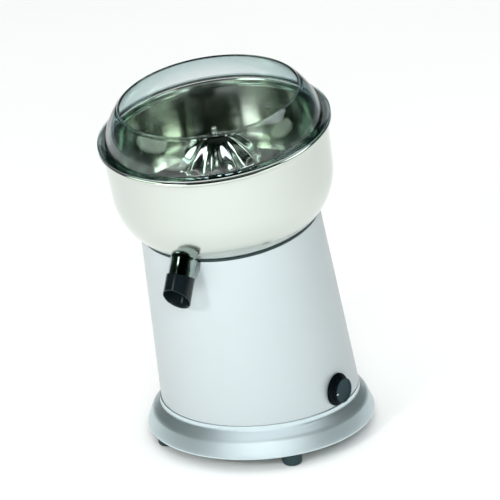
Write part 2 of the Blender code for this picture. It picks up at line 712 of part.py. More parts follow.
def make_reamer():
    nub = [(0.0, REAMER_FOOT + REAMER_H + 0.0068), (0.0020, REAMER_FOOT + REAMER_H + 0.0058)]
    nub += [(0.0030, REAMER_FOOT + REAMER_H + 0.0030), (0.0026, REAMER_FOOT + REAMER_H + 0.0004)]
    heights = [REAMER_H * share for share in (0.985, 0.93, 0.82, 0.66, 0.46, 0.24, 0.0)]
    dome = [(dome_radius(h), REAMER_FOOT + h) for h in heights]
    under = [
        (0.0400, 0.2585), (0.0385, 0.2575), (0.0385, 0.2545), (0.0352, 0.2545), (0.0346, 0.2600),
        (0.0150, 0.2720), (STEM_R, 0.2700), (STEM_R, 0.2385), (SOCKET_R, 0.2385), (SOCKET_R, SOCKET_TOP),
        (0.0, SOCKET_TOP),
    ]
    blank = turned("reamer_blank", nub + dome + under, None, COLUMN, 4 * REAMER_RIBS, False, REAMER_FOOT)
    bpy.context.view_layer.update()
    depsgraph = bpy.context.evaluated_depsgraph_get()
    mesh = bpy.data.meshes.new_from_object(blank.evaluated_get(depsgraph))
    bpy.data.objects.remove(blank, do_unlink=True)
    for vertex in mesh.vertices:
        radius, height = vertex.co.xy.length, vertex.co.z
        if 0.0 <= height < REAMER_H and abs(radius - dome_radius(height)) < 0.00002:
            turn = math.atan2(vertex.co.y, vertex.co.x)
            valley = (0.5 - 0.5 * math.cos(REAMER_RIBS * turn)) ** 0.7
            fade = math.sin(math.pi * min(1.0, (height / REAMER_H) * 0.92 + 0.08)) ** 0.6
            vertex.co.xy *= 1 - FLUTE_DEPTH * valley * fade
    mesh.materials.clear()
    reamer = add_object("reamer", mesh, polished_steel("reamer_steel"), COLUMN, (0, 0, REAMER_FOOT))
    slot_mesh = box_mesh("pin_slot", (0.028, 2 * PIN_R + 0.001, 0.010), (0, 0, 0.2385))
    cut(reamer, add_object("pin_slot", slot_mesh, None, COLUMN, (0, 0, 0), True))


# ---- switch and cable gland ----
def make_switch():
    surface = column_radius(SWITCH_H)
    outward = around(1, SWITCH_AZIMUTH, (COLUMN_FOOT_R - COLUMN_TOP_R) / COLUMN_TOP)
    seat = new_empty("switch_axis", around(surface, SWITCH_AZIMUTH, SWITCH_H))
    seat.parent = COLUMN
    point_along(seat, outward)
    inside = -COLUMN_WALL - 0.0022
    body_mesh = box_mesh("switch_body", (0.028, 0.028, 0.022), (0, 0, inside - 0.011))
    body = add_object("switch_body", body_mesh, black_plastic("switch_case"), seat)
    neck_mesh = rod_mesh("switch_neck", 0.0060, 0.0104, 20)
    neck = add_object("switch_neck", neck_mesh, None, seat, (0, 0, inside - 0.002), True)
    join(body, neck)
    stem_bore = rod_cutter("stem_bore", 0.0033, 0.016, (0, 0, -0.008), seat, sides=16)
    cut(body, stem_bore)
    nut_mesh = rod_mesh("switch_nut", 0.0088, 0.0024, 6)
    nut = add_object("switch_nut", nut_mesh, zinc_steel("switch_nut_zinc"), seat, (0, 0, 0.0005))
    cut(nut, rod_cutter("nut_bore", 0.0063, 0.01, (0, 0, -0.003), seat, sides=20))
    stem_mesh = rod_mesh("switch_stem", 0.0030, KNOB_FACE + 0.0047, 14)
    stem = add_object("switch_stem", stem_mesh, zinc_steel("stem_zinc"), seat)
    stem.location = (0, 0, -0.0070)
    knob_profile = [
        (0.0, KNOB_FACE), (KNOB_GRIP_R - 0.0012, KNOB_FACE), (KNOB_GRIP_R, KNOB_FACE - 0.0012),
        (KNOB_GRIP_R + 0.0006, 0.0042), (KNOB_SKIRT_R - 0.0016, 0.0036), (KNOB_SKIRT_R, 0.0022),
        (KNOB_SKIRT_R, 0.0006), (0.0095, 0.0006), (0.0095, 0.0033), (0.0033, 0.0033),
        (0.0033, KNOB_FACE - 0.0020), (0.0, KNOB_FACE - 0.0020),
    ]
    turned("switch_knob", knob_profile, black_plastic("knob_plastic"), seat, 24, False)


def make_cable_gland():
    surface = column_radius(GLAND_H)
    seat = new_empty("gland_axis", (0, surface, GLAND_H))
    seat.parent = COLUMN
    point_along(seat, (0, 1, 0))
    body = [
        (0.0095, 0.0065), (0.0115, 0.0045), (0.0115, 0.0009), (0.0080, 0.0009), (0.0080, -0.0100),
        (GLAND_BORE_R, -0.0100), (GLAND_BORE_R, 0.0065),
    ]
    turned("cable_gland", body, black_plastic("gland_plastic"), seat, MEDIUM)
    nut_mesh = rod_mesh("gland_nut", 0.0120, 0.0034, 6)
    nut = add_object("gland_nut", nut_mesh, black_plastic("gland_nut_plastic"), seat)
    nut.location = (0, 0, -COLUMN_WALL - 0.0018 - 0.0034)
    cut(nut, rod_cutter("gland_nut_bore", 0.0083, 0.010, (0, 0, -0.012), seat, sides=24))


make_base_ring()
make_bottom_cover()
make_feet()
make_body_screws()
make_body_shell()
make_bowl_gasket()
make_shaft_seal()
make_bearings()
make_motor_top_plate()
make_motor_can()
make_motor_screws()
make_stator()
make_motor_shaft()
make_drive_pin()
make_rotor()
make_cooling_fan()
make_capacitor()
make_terminal_block()
make_bowl()
make_bowl_tube()
make_strainer()
make_spout()
make_splash_guard()
make_reamer()
make_switch()
make_cable_gland()
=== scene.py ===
"""Looks for the citrus press juicer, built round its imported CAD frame.

Metres, +Z up, front (spout side) at -Y and the switch at +X. Azimuths run from the front towards +X.
Turned pieces are made round their own Z axis; the column's pieces share its leaning axis.
"""
import json
import math

import bmesh
import bpy
from mathutils import Matrix, Vector


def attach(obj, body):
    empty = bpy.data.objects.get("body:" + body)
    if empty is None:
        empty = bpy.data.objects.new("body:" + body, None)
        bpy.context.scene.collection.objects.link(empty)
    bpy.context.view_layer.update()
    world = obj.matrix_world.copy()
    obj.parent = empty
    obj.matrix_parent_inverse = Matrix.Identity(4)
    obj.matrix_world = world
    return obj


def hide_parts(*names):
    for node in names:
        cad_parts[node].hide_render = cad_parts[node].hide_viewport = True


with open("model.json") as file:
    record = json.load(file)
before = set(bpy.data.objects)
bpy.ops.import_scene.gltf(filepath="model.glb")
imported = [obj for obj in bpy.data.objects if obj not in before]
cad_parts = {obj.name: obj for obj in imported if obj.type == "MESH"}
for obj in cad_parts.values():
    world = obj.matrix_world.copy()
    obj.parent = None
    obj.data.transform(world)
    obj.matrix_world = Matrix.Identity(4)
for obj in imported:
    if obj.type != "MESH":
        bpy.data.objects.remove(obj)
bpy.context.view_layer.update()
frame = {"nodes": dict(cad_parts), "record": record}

# ---- dimensions shared with the CAD part ----
LEAN = math.radians(9.6)
BASE_Y = 0.0233
GAP = 0.0003
BASE_TOP = 0.045
BASE_R = 0.118
BASE_COLLAR_R = 0.1032
BASE_BORE_R = 0.086
SHELF_LOW = 0.0410
FOOT_H = 0.015
FOOT_R = 0.0105
FOOT_CIRCLE = 0.1022
FOOT_AZIMUTHS = {"front_left": -45, "front_right": 45, "rear_right": 135, "rear_left": 225}
COLUMN_FOOT_R = 0.1022
COLUMN_TOP_R = 0.0905
COLUMN_TOP = 0.2006
COLUMN_WALL = 0.0035
COLUMN_EDGE = 0.0009                # chamfer of the column's top edge
COLUMN_CUT = -0.020                 # the column is made this far down, then cut flat on the base
DECK_TOP = 0.1905
DECK_T = 0.006
GASKET_SEAT = (0.084, 0.1962)       # foot of the column's slanted rim, where the seal lies
BEARING_R = 0.013
BEARING_LOW, BEARING_HIGH = 0.174, 0.188
SHAFT_BORE_R, SEAL_BORE_R = 0.0075, 0.0113
SEAL_LOW = 0.224
HUB_R = 0.020
HUB_TOP = 0.236
BOWL_T = 0.0016
CORNER_R, CORNER_H = 0.0655, 0.250  # centre of the bowl's rounded lower corner, and its half axes
CORNER_A, CORNER_B = 0.0451, 0.056
RIM_R, RIM_H = 0.116, 0.2987
BEAD_R = 0.0027
THROAT_R = 0.1116                   # outside of the wall just under the rolled rim
THROAT_BORE_R = 0.1100
CHIMNEY_R = 0.0226
CHIMNEY_TOP = 0.246
TUBE_FLANGE_R = 0.0285
TUBE_FLANGE_T = 0.0012
STRAINER_LOW = 0.2025
STRAINER_EDGE = 0.2205
STRAINER_T = 0.0012
STRAINER_COLLAR = 0.0075
STRAINER_FLAT_R = 0.0730
STRAINER_HOLE_R = 0.0026
STRAINER_ROWS = ((0.042, 8, 0), (0.060, 12, 15))    # circle radius, holes, first azimuth
GUARD_T = 0.0024
GUARD_TOP = 0.3367
GUARD_TOP_R = 0.0903
GUARD_SHOULDER_R = 0.1045
GUARD_FOOT_R = 0.1078
GUARD_SKIRT = 0.2935
FLANGE_T = 0.0020
FLANGE_R = RIM_R - 0.0002
REAMER_R = 0.0412
REAMER_FOOT = 0.2604
REAMER_H = 0.0345
REAMER_RIBS = 10
REAMER_STEPS = 38 * REAMER_RIBS
FLUTE_DEPTH = 0.17
REAMER_HUB_R, REAMER_HUB_LOW = 0.012, 0.2385
REAMER_BORE_R, REAMER_BORE_TOP = 0.0053, 0.284
PIN_R = 0.002
SPOUT_R = 0.0128
SPOUT_T = 0.0015
SLEEVE_R = 0.0141
SPOUT_DOWN = math.radians(47)
SPOUT_WALL = Vector((0, -0.094, 0.2066))
SPOUT_ALONG = Vector((0, -math.cos(SPOUT_DOWN), -math.sin(SPOUT_DOWN)))
SPOUT_MOUTH = Vector((0, -0.1230, 0.1733))
MOUTH_SLANT = math.radians(28)
LIP = 0.0003                        # chamfer of the two mouths
SLEEVE_SHORT = 0.0025
PIPE_SHORT = 0.0160
NOTCH_DOWN = math.radians(62)
NOTCH_POINT = Vector((0, -0.0985, 0.2006))
NOTCH_ALONG = Vector((0, -math.cos(NOTCH_DOWN), -math.sin(NOTCH_DOWN)))
NOTCH_R = 0.0165
SWITCH_AZIMUTH, SWITCH_H = 81, 0.0202
SWITCH_HOLE_R = 0.0064
KNOB_SKIRT_R = 0.0168
KNOB_GRIP_R = 0.0128
KNOB_GRIP_SWELL = 0.0006            # how much wider the grip is at its foot
KNOB_GRIP_LOW = 0.0044
KNOB_FACE = 0.0096
KNOB_BORE_R = 0.0033
KNOB_RIBS = 36
POINTER_SIZE = (0.0028, 0.0012, 0.0007)
GLAND_H = 0.026
GLAND_R = 0.0115
GLAND_THREAD_R = 0.0080
GLAND_HOLE_R = 0.0084
GLAND_BORE_R = 0.005
GLAND_BACK, GLAND_FRONT = -0.0100, 0.0065
GLAND_RIBS = 20

STEPS = 192                         # sides of the large turned pieces
SMALL_STEPS = 64
STEPS_PER_RIB = 8
HOLE_REACH = 0.012                  # how far a hole's cutter stands out on each side of the wall

BASE = Matrix.Translation((0, BASE_Y, 0))
COLUMN = Matrix.Translation((0, BASE_Y, BASE_TOP)) @ Matrix.Rotation(LEAN, 4, "X")


def around(radius, azimuth, height):
    turn = math.radians(azimuth)
    return Vector((radius * math.sin(turn), -radius * math.cos(turn), height))


def aimed(place, direction):
    """Matrix of a frame at place whose Z axis runs along direction."""
    return Matrix.Translation(place) @ Vector(direction).to_track_quat("Z", "Y").to_matrix().to_4x4()


def column_radius(height):
    return COLUMN_FOOT_R + (COLUMN_TOP_R - COLUMN_FOOT_R) * height / COLUMN_TOP


SLOPE = (COLUMN_FOOT_R - COLUMN_TOP_R) / COLUMN_TOP
SWITCH = COLUMN @ aimed(
    around(column_radius(SWITCH_H), SWITCH_AZIMUTH, SWITCH_H), around(1, SWITCH_AZIMUTH, SLOPE),
)
GLAND = COLUMN @ aimed((0, column_radius(GLAND_H), GLAND_H), (0, 1, 0))


# ---- node helpers ----
def spread_stops(node, stops):
    """Sets a colour ramp's stops from (place, grey or colour) pairs."""
    elements = node.color_ramp.elements
    while len(elements) < len(stops):
        elements.new(0.5)
    for element, (place, value) in zip(elements, stops):
        element.position = place
        element.color = (*value, 1.0) if isinstance(value, tuple) else (value, value, value, 1.0)


class Look:
    """A material's node tree with short ways to add what the looks below use."""

    def __init__(self, name, colour, roughness, metallic=0.0, **sockets):
        self.material = bpy.data.materials.new(name)
        self.material.use_nodes = True
        self.tree = self.material.node_tree
        self.shader = self.tree.nodes["Principled BSDF"]
        self.set("Base Color", (*colour, 1.0))
        self.set("Roughness", roughness)
        self.set("Metallic", metallic)
        for socket, value in sockets.items():
            self.set(socket.replace("_", " ").title().replace("Ior", "IOR"), value)
        self.local = self.add("ShaderNodeTexCoord").outputs["Object"]

    def set(self, socket, value):
        self.shader.inputs[socket].default_value = value

    def add(self, kind, **settings):
        node = self.tree.nodes.new(kind)
        for name, value in settings.items():
            setattr(node, name, value)
        return node

    def join(self, output, target):
        self.tree.links.new(output, target)

    def scaled(self, source, scale):
        node = self.add("ShaderNodeMapping")
        node.inputs["Scale"].default_value = scale
        self.join(source, node.inputs["Vector"])
        return node.outputs["Vector"]

    def rings(self, radial, axial):
        """Coordinates that are the same all round the axis, for turned marks."""
        parts = self.add("ShaderNodeSeparateXYZ")
        self.join(self.local, parts.inputs[0])
        flat = self.add("ShaderNodeCombineXYZ")
        self.join(parts.outputs["X"], flat.inputs["X"])
        self.join(parts.outputs["Y"], flat.inputs["Y"])
        length = self.add("ShaderNodeVectorMath", operation="LENGTH")
        self.join(flat.outputs[0], length.inputs[0])
        both = self.add("ShaderNodeCombineXYZ")
        self.join(length.outputs["Value"], both.inputs["X"])
        self.join(parts.outputs["Z"], both.inputs["Y"])
        return self.scaled(both.outputs[0], (radial, axial, 1))

    def noise(self, vector, scale, detail=2.0, rough=0.5):
        node = self.add("ShaderNodeTexNoise")
        node.inputs["Scale"].default_value = scale
        node.inputs["Detail"].default_value = detail
        node.inputs["Roughness"].default_value = rough
        self.join(vector, node.inputs["Vector"])
        return node.outputs["Fac"]

    def cells(self, vector, scale):
        node = self.add("ShaderNodeTexVoronoi")
        node.inputs["Scale"].default_value = scale
        self.join(vector, node.inputs["Vector"])
        return node.outputs["Color"]

    def ramp(self, source, stops, target):
        """Turns a source from 0 to 1 into values or colours and feeds a socket of the shader."""
        node = self.add("ShaderNodeValToRGB")
        spread_stops(node, stops)
        self.join(source, node.inputs["Fac"])
        self.join(node.outputs["Color"], self.shader.inputs[target])

    def painted_outer_shade(self, colour):
        """Gives the faces that look away from the Z axis a duller colour: painted shade that stands in for
        the darker surroundings these faces reflect.
        """
        across = self.add("ShaderNodeVectorMath", operation="MULTIPLY")
        across.inputs[1].default_value = (1, 1, 0)
        self.join(self.local, across.inputs[0])
        outward = self.add("ShaderNodeVectorMath", operation="DOT_PRODUCT")
        self.join(across.outputs[0], outward.inputs[0])
        self.join(self.add("ShaderNodeTexCoord").outputs["Normal"], outward.inputs[1])
        away = self.add("ShaderNodeMath", operation="GREATER_THAN")
        self.join(outward.outputs["Value"], away.inputs[0])
        away.inputs[1].default_value = 0.0
        target = self.shader.inputs["Base Color"]
        both = self.add("ShaderNodeMix", data_type="RGBA")
        self.join(away.outputs[0], both.inputs["Factor"])
        self.join(target.links[0].from_socket, both.inputs["A"])
        both.inputs["B"].default_value = (*colour, 1.0)
        self.join(both.outputs["Result"], target)

    def bump(self, source, strength, distance):
        """Adds a relief on top of any relief that is already there."""
        node = self.add("ShaderNodeBump")
        node.inputs["Strength"].default_value = strength
        node.inputs["Distance"].default_value = distance
        self.join(source, node.inputs["Height"])
        target = self.shader.inputs["Normal"]
        if target.is_linked:
            self.join(target.links[0].from_socket, node.inputs["Normal"])
        self.join(node.outputs["Normal"], target)


# ---- materials ----
# Noise scales are per metre and bump distances in metres. A ramp's pairs are (place in the noise, value).
def turned_steel(name, shade, low, high, anisotropy, marks=0.05, outer_painted_shade=None):
    """Polished stainless steel with fine marks round its axis; a colour for the outer side, if given, is
    painted on there as shade for the darker surroundings that side reflects.
    """
    look = Look(name, shade, low, 1.0, anisotropic=anisotropy)
    fine = look.noise(look.rings(900, 900), 1.0, 3.0, 0.6)
    broad = look.noise(look.local, 14, 3.0)
    look.ramp(fine, [(0.3, low), (0.75, high)], "Roughness")
    darker = tuple(0.93 * value for value in shade)
    look.ramp(broad, [(0.3, darker), (0.7, shade)], "Base Color")
    look.bump(fine, marks, 0.00002)
    if outer_painted_shade:
        look.painted_outer_shade(outer_painted_shade)
    if anisotropy:
        look.set("Anisotropic Rotation", 0.25)
        tangent = look.add("ShaderNodeTangent", direction_type="RADIAL", axis="Z")
        look.join(tangent.outputs[0], look.shader.inputs["Tangent"])
    return look.material


def lacquer(name, shade, low, high, metallic):
    """Satin silver lacquer: fine flakes, a faint orange peel and an uneven gloss."""
    look = Look(name, shade, low, metallic, coat_weight=0.25, coat_roughness=0.18)
    flakes = look.noise(look.local, 2600, 2.0, 0.7)
    darker = tuple(0.955 * value for value in shade)
    look.ramp(flakes, [(0.35, darker), (0.65, shade)], "Base Color")
    look.ramp(look.noise(look.local, 30, 3.0), [(0.3, low), (0.7, high)], "Roughness")
    look.bump(look.noise(look.local, 420, 2.0), 0.10, 0.00004)
    look.bump(flakes, 0.05, 0.00001)
    return look.material


def clear_acrylic(name):
    """Lightly tinted: the tint deepens where the wall is seen at a slant, and fine scuffs run round it."""
    look = Look(
        name, (0.70, 0.79, 0.79), 0.01, 0.0, transmission_weight=1.0, ior=1.49, specular_ior_level=0.3,
    )
    slant = look.add("ShaderNodeLayerWeight")
    slant.inputs["Blend"].default_value = 0.5
    look.ramp(slant.outputs["Facing"], [(0.05, (0.93, 0.96, 0.95)), (0.5, (0.46, 0.62, 0.64))], "Base Color")
    scuffs = look.noise(look.rings(500, 500), 1.0, 3.0)
    look.ramp(scuffs, [(0.45, 0.008), (0.8, 0.035)], "Roughness")
    return look.material


def rubber(name, shade, low, high, grain=0.25, shine=0.5):
    """Moulded rubber with a dusty, slightly uneven tone and a fine grain."""
    look = Look(name, shade, low, 0.0, specular_ior_level=shine)
    fine = look.noise(look.local, 1800, 3.0)
    lighter = tuple(1.5 * value for value in shade)
    look.ramp(look.noise(look.local, 60, 3.0), [(0.35, shade), (0.8, lighter)], "Base Color")
    look.ramp(fine, [(0.3, low), (0.7, high)], "Roughness")
    look.bump(fine, grain, 0.00004)
    return look.material


def moulded_plastic(name, shade, low, high, grain=0.3, shine=0.3):
    """A moulding with a fine spark-eroded grain."""
    look = Look(name, shade, low, 0.0, specular_ior_level=shine)
    cells = look.cells(look.local, 1500)
    lighter = tuple(min(1.0, 1.25 * value) for value in shade)
    look.ramp(look.noise(look.local, 45, 4.0), [(0.3, shade), (0.75, lighter)], "Base Color")
    look.ramp(look.noise(look.local, 700, 2.0), [(0.3, low), (0.7, high)], "Roughness")
    look.bump(cells, grain, 0.00002)
    return look.material


def zinc_plate(name):
    """Zinc-plated steel: soft spangles and a dull, faintly blue skin."""
    look = Look(name, (0.6, 0.6, 0.58), 0.34, 1.0)
    spangles = look.cells(look.local, 240)
    look.ramp(spangles, [(0.1, (0.52, 0.54, 0.55)), (0.9, (0.68, 0.68, 0.64))], "Base Color")
    fine = look.noise(look.local, 500, 3.0)
    look.ramp(fine, [(0.3, 0.26), (0.7, 0.42)], "Roughness")
    look.bump(fine, 0.12, 0.00003)
    return look.material


def ground_steel(name):
    """Steel ground round its axis."""
    look = Look(name, (0.62, 0.63, 0.64), 0.2, 1.0)
    fine = look.noise(look.rings(60, 2400), 1.0, 3.0)
    look.ramp(fine, [(0.3, 0.14), (0.7, 0.30)], "Roughness")
    look.ramp(fine, [(0.2, (0.56, 0.57, 0.58)), (0.8, (0.66, 0.67, 0.68))], "Base Color")
    look.bump(fine, 0.15, 0.00002)
    return look.material


def laminations(name):
    """Varnished sheets stacked along the axis."""
    look = Look(name, (0.30, 0.31, 0.32), 0.45, 0.8)
    wave = look.add("ShaderNodeTexWave", bands_direction="Z")
    wave.inputs["Scale"].default_value = 320
    wave.inputs["Distortion"].default_value = 0.4
    look.join(look.local, wave.inputs["Vector"])
    look.ramp(wave.outputs["Fac"], [(0.2, (0.16, 0.15, 0.15)), (0.6, (0.34, 0.35, 0.36))], "Base Color")
    look.ramp(look.noise(look.local, 200, 3.0), [(0.3, 0.38), (0.7, 0.55)], "Roughness")
    look.bump(wave.outputs["Fac"], 0.4, 0.0001)
    return look.material


def enamelled_wire(name):
    """Copper wire wound side by side and tied down with varnish."""
    look = Look(name, (0.72, 0.33, 0.18), 0.3, 1.0)
    strands = look.noise(look.rings(1500, 1500), 1.0, 1.0)
    look.ramp(strands, [(0.35, (0.38, 0.14, 0.06)), (0.65, (0.78, 0.38, 0.20))], "Base Color")
    look.ramp(look.noise(look.local, 150, 3.0), [(0.3, 0.22), (0.7, 0.42)], "Roughness")
    look.bump(strands, 0.6, 0.0004)
    return look.material


def as_cast(name):
    """Aluminium with the dull, grainy skin of its mould."""
    look = Look(name, (0.66, 0.68, 0.69), 0.5, 0.9)
    grain = look.noise(look.local, 420, 4.0, 0.65)
    look.ramp(grain, [(0.3, (0.56, 0.58, 0.59)), (0.7, (0.70, 0.72, 0.73))], "Base Color")
    look.ramp(grain, [(0.3, 0.42), (0.7, 0.6)], "Roughness")
    look.bump(grain, 0.4, 0.0002)
    return look.material


LOOKS = {
    "polished_steel": turned_steel("polished_steel", (0.84, 0.85, 0.83), 0.07, 0.15, 0.0),
    "silver_paint": lacquer("silver_lacquer", (0.60, 0.655, 0.675), 0.36, 0.44, 0.15),
    "clear_plastic": clear_acrylic("clear_acrylic"),
    "black_rubber": rubber("black_rubber", (0.014, 0.034, 0.037), 0.5, 0.65),
    "black_plastic": moulded_plastic("black_moulding", (0.004, 0.008, 0.009), 0.30, 0.42, 0.2),
    "zinc_steel": zinc_plate("zinc_plate"),
    "bearing_steel": ground_steel("ground_steel"),
    "lamination_steel": laminations("laminations"),
    "winding_copper": enamelled_wire("enamelled_wire"),
    "cast_aluminium": as_cast("as_cast_aluminium"),
    "terminal_plastic": moulded_plastic("cream_moulding", (0.66, 0.62, 0.50), 0.4, 0.55),
}
# The bowl steel's outer side gets a duller colour, painted shade standing in for the darker surroundings that
# side reflects.
BOWL_STEEL = turned_steel("bowl_steel", (0.86, 0.89, 0.82), 0.11, 0.16, 0.85, outer_painted_shade=(0.60, 0.63, 0.59))
REAMER_STEEL = turned_steel("reamer_steel", (0.86, 0.88, 0.89), 0.08, 0.14, 0.0, 0.02)
# A dark copy of the polished steel for the drain pipe: painted shade standing in for the dark surroundings
# the pipe reflects.
SPOUT_STEEL_PAINTED_SHADE = turned_steel("spout_steel", (0.31, 0.38, 0.36), 0.08, 0.14, 0.0, 0.02)
BASE_LACQUER = lacquer("base_lacquer", (0.72, 0.83, 0.86), 0.42, 0.45, 0.8)
SLEEVE_RUBBER = rubber("sleeve_rubber", (0.006, 0.010, 0.012), 0.12, 0.2, 0.06, 0.28)
KNOB_PLASTIC = moulded_plastic("knob_plastic", (0.002, 0.004, 0.006), 0.30, 0.42, 0.2, 0.06)
# A lighter copy of the knob's plastic for its face: painted light, standing in for the light that falls on
# the knob's face.
KNOB_FACE_PAINTED_LIGHT = moulded_plastic("knob_face_plastic", (0.010, 0.034, 0.041), 0.34, 0.46, 0.2, 0.15)
POINTER_PAINT = moulded_plastic("pointer_paint", (0.85, 0.86, 0.84), 0.35, 0.5)


# ---- mesh helpers ----
def finished(name, mesh, place, material, body, nodes, sharp=32):
    """Puts a mesh in the scene as a piece for these CAD nodes; edges of more than sharp degrees stay hard."""
    obj = bpy.data.objects.new(name, mesh)
    bpy.context.scene.collection.objects.link(obj)
    obj.matrix_world = place
    mesh.materials.clear()
    mesh.materials.append(material)
    mesh.shade_smooth()
    mesh.set_sharp_from_angle(angle=math.radians(sharp))
    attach(obj, body)
    if nodes:
        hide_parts(*nodes)
    return obj


def clean_mesh(name, verts, faces):
    """A mesh with doubled points joined and its faces turned outward."""
    mesh = bpy.data.meshes.new(name)
    mesh.from_pydata(verts, [], faces)
    bm = bmesh.new()
    bm.from_mesh(mesh)
    bmesh.ops.remove_doubles(bm, verts=bm.verts, dist=0.000001)
    bmesh.ops.recalc_face_normals(bm, faces=bm.faces)
    bm.to_mesh(mesh)
    bm.free()
    return mesh


def softened(points, count=5, closed=True):
    """Rounds the corners of a profile. A point may carry a third number, the length cut from its corner."""
    result = []
    last = len(points) - 1
    for index, point in enumerate(points):
        cut = point[2] if len(point) > 2 else 0.0
        corner = Vector(point[:2])
        if cut == 0.0 or (not closed and index in (0, last)):
            result.append(tuple(corner))
            continue
        before = Vector(points[index - 1][:2]) - corner
        after = Vector(points[(index + 1) % len(points)][:2]) - corner
        cut = min(cut, 0.48 * before.length, 0.48 * after.length)
        start = corner + before.normalized() * cut
        end = corner + after.normalized() * cut
        for step in range(count):
            share = step / (count - 1)
            first = start.lerp(corner, share)
            result.append(tuple(first.lerp(corner.lerp(end, share), share)))
    return result


def spun(name, profile, steps=STEPS, closed=True, shape=None):
    """A turned mesh; shape(radius, height, turn) may give another radius."""
    verts, faces = [], []
    count = len(profile)
    for step in range(steps):
        turn = math.tau * step / steps
        for radius, height in profile:
            reach = shape(radius, height, turn) if shape else radius
            verts.append((reach * math.cos(turn), reach * math.sin(turn), height))
    for step in range(steps):
        here, there = step * count, ((step + 1) % steps) * count
        for index in range(count if closed else count - 1):
            after = (index + 1) % count
            faces.append((here + index, there + index, there + after, here + after))
    return clean_mesh(name, verts, faces)


def rod(radius, low, high, sides=48):
    """A plain round cutter along Z."""
    bm = bmesh.new()
    bmesh.ops.create_cone(
        bm, cap_ends=True, segments=sides, radius1=radius, radius2=radius, depth=high - low,
        matrix=Matrix.Translation((0, 0, (low + high) / 2)),
    )
    mesh = bpy.data.meshes.new("cutter")
    bm.to_mesh(mesh)
    bm.free()
    return mesh


def block(size, centre):
    """A plain square cutter."""
    bm = bmesh.new()
    bmesh.ops.create_cube(bm, size=1, matrix=Matrix.Translation(centre) @ Matrix.Diagonal((*size, 1)))
    mesh = bpy.data.meshes.new("cutter")
    bm.to_mesh(mesh)
    bm.free()
    return mesh


def carved(mesh, *cutters):
    """The mesh less each (cutter mesh, matrix), in the mesh's own frame."""
    body = bpy.data.objects.new("carving", mesh)
    tools = [body]
    bpy.context.scene.collection.objects.link(body)
    for cutter, place in cutters:
        tool = bpy.data.objects.new("tool", cutter)
        bpy.context.scene.collection.objects.link(tool)
        tool.matrix_world = place
        modifier = body.modifiers.new("cut", "BOOLEAN")
        modifier.operation = "DIFFERENCE"
        modifier.solver = "EXACT"
        modifier.object = tool
        tools.append(tool)
    bpy.context.view_layer.update()
    depsgraph = bpy.context.evaluated_depsgraph_get()
    result = bpy.data.meshes.new_from_object(body.evaluated_get(depsgraph))
    for tool in tools:
        bpy.data.objects.remove(tool)
    return result


def arc(centre, radius, start, end, count):
    """Points on a circle from one angle to another, in degrees."""
    angles = [math.radians(start + (end - start) * step / (count - 1)) for step in range(count)]
    return [(centre[0] + radius * math.cos(a), centre[1] + radius * math.sin(a)) for a in angles]


def bezier(start, control, end, count):
    """Points on a curve that leaves start and reaches end in the direction of control."""
    points = []
    for step in range(count):
        t = step / (count - 1)
        a, b, c = (1 - t) ** 2, 2 * t * (1 - t), t * t
        points.append(tuple(a * p + b * q + c * r for p, q, r in zip(start, control, end)))
    return points


def line(start, end, count):
    """Points from start up to but not including end."""
    return [tuple(Vector(start).lerp(Vector(end), step / count)) for step in range(count)]


# ---- base and feet ----
def build_base_ring():
    collar = [(BASE_COLLAR_R, BASE_TOP, 0.0009), (BASE_COLLAR_R, 0.0408, 0.0004)]
    band = [
        (0.1038, 0.0394, 0.0008), (0.1050, 0.0384, 0.0008), (0.1106, 0.0328, 0.0016),
        (0.1124, 0.0302, 0.0014), (0.1170, 0.0190, 0.003), (BASE_R, 0.0162, 0.0012),
    ]
    underside = [
        (BASE_R, FOOT_H, 0.0007), (0.1135, FOOT_H, 0.0005), (0.1132, 0.0180), (0.1085, 0.0300),
        (0.1012, 0.0368), (0.0992, 0.0385), (0.0992, SHELF_LOW),
    ]
    shelf = [(BASE_BORE_R, SHELF_LOW, 0.0005), (BASE_BORE_R, BASE_TOP, 0.0006)]
    profile = softened(collar + band + underside + shelf, 7)
    mesh = spun("base_casting", profile)
    finished("base_casting", mesh, BASE, BASE_LACQUER, "housing", ["base_ring"], 40)


def build_feet():
    top = FOOT_H + 0.001 - GAP
    recess, recess_top, bore = 0.0058, 0.0070, 0.0024
    profile = softened([
        (0.0099, top), (FOOT_R, top - 0.0012, 0.0006), (FOOT_R - 0.0001, 0.0098, 0.0003),
        (FOOT_R - 0.0005, 0.0092, 0.0003), (FOOT_R - 0.0002, 0.0086, 0.0003),
        (FOOT_R - 0.0006, 0.0022, 0.001), (FOOT_R - 0.0018, 0.0, 0.0012), (recess, 0.0, 0.0006),
        (recess, recess_top, 0.0004), (bore, recess_top), (bore, top),
    ])
    for name, azimuth in FOOT_AZIMUTHS.items():
        place = BASE @ Matrix.Translation(around(FOOT_CIRCLE, azimuth, 0))
        mesh = spun(f"rubber_foot_{name}", profile, SMALL_STEPS)
        finished(mesh.name, mesh, place, LOOKS["black_rubber"], "housing", [f"foot_{name}"])


# ---- column ----
def notch():
    """Cutter and place of the U-shaped notch that the spout leaves through."""
    return rod(NOTCH_R, -0.020, 0.050, 72), aimed(NOTCH_POINT, NOTCH_ALONG)


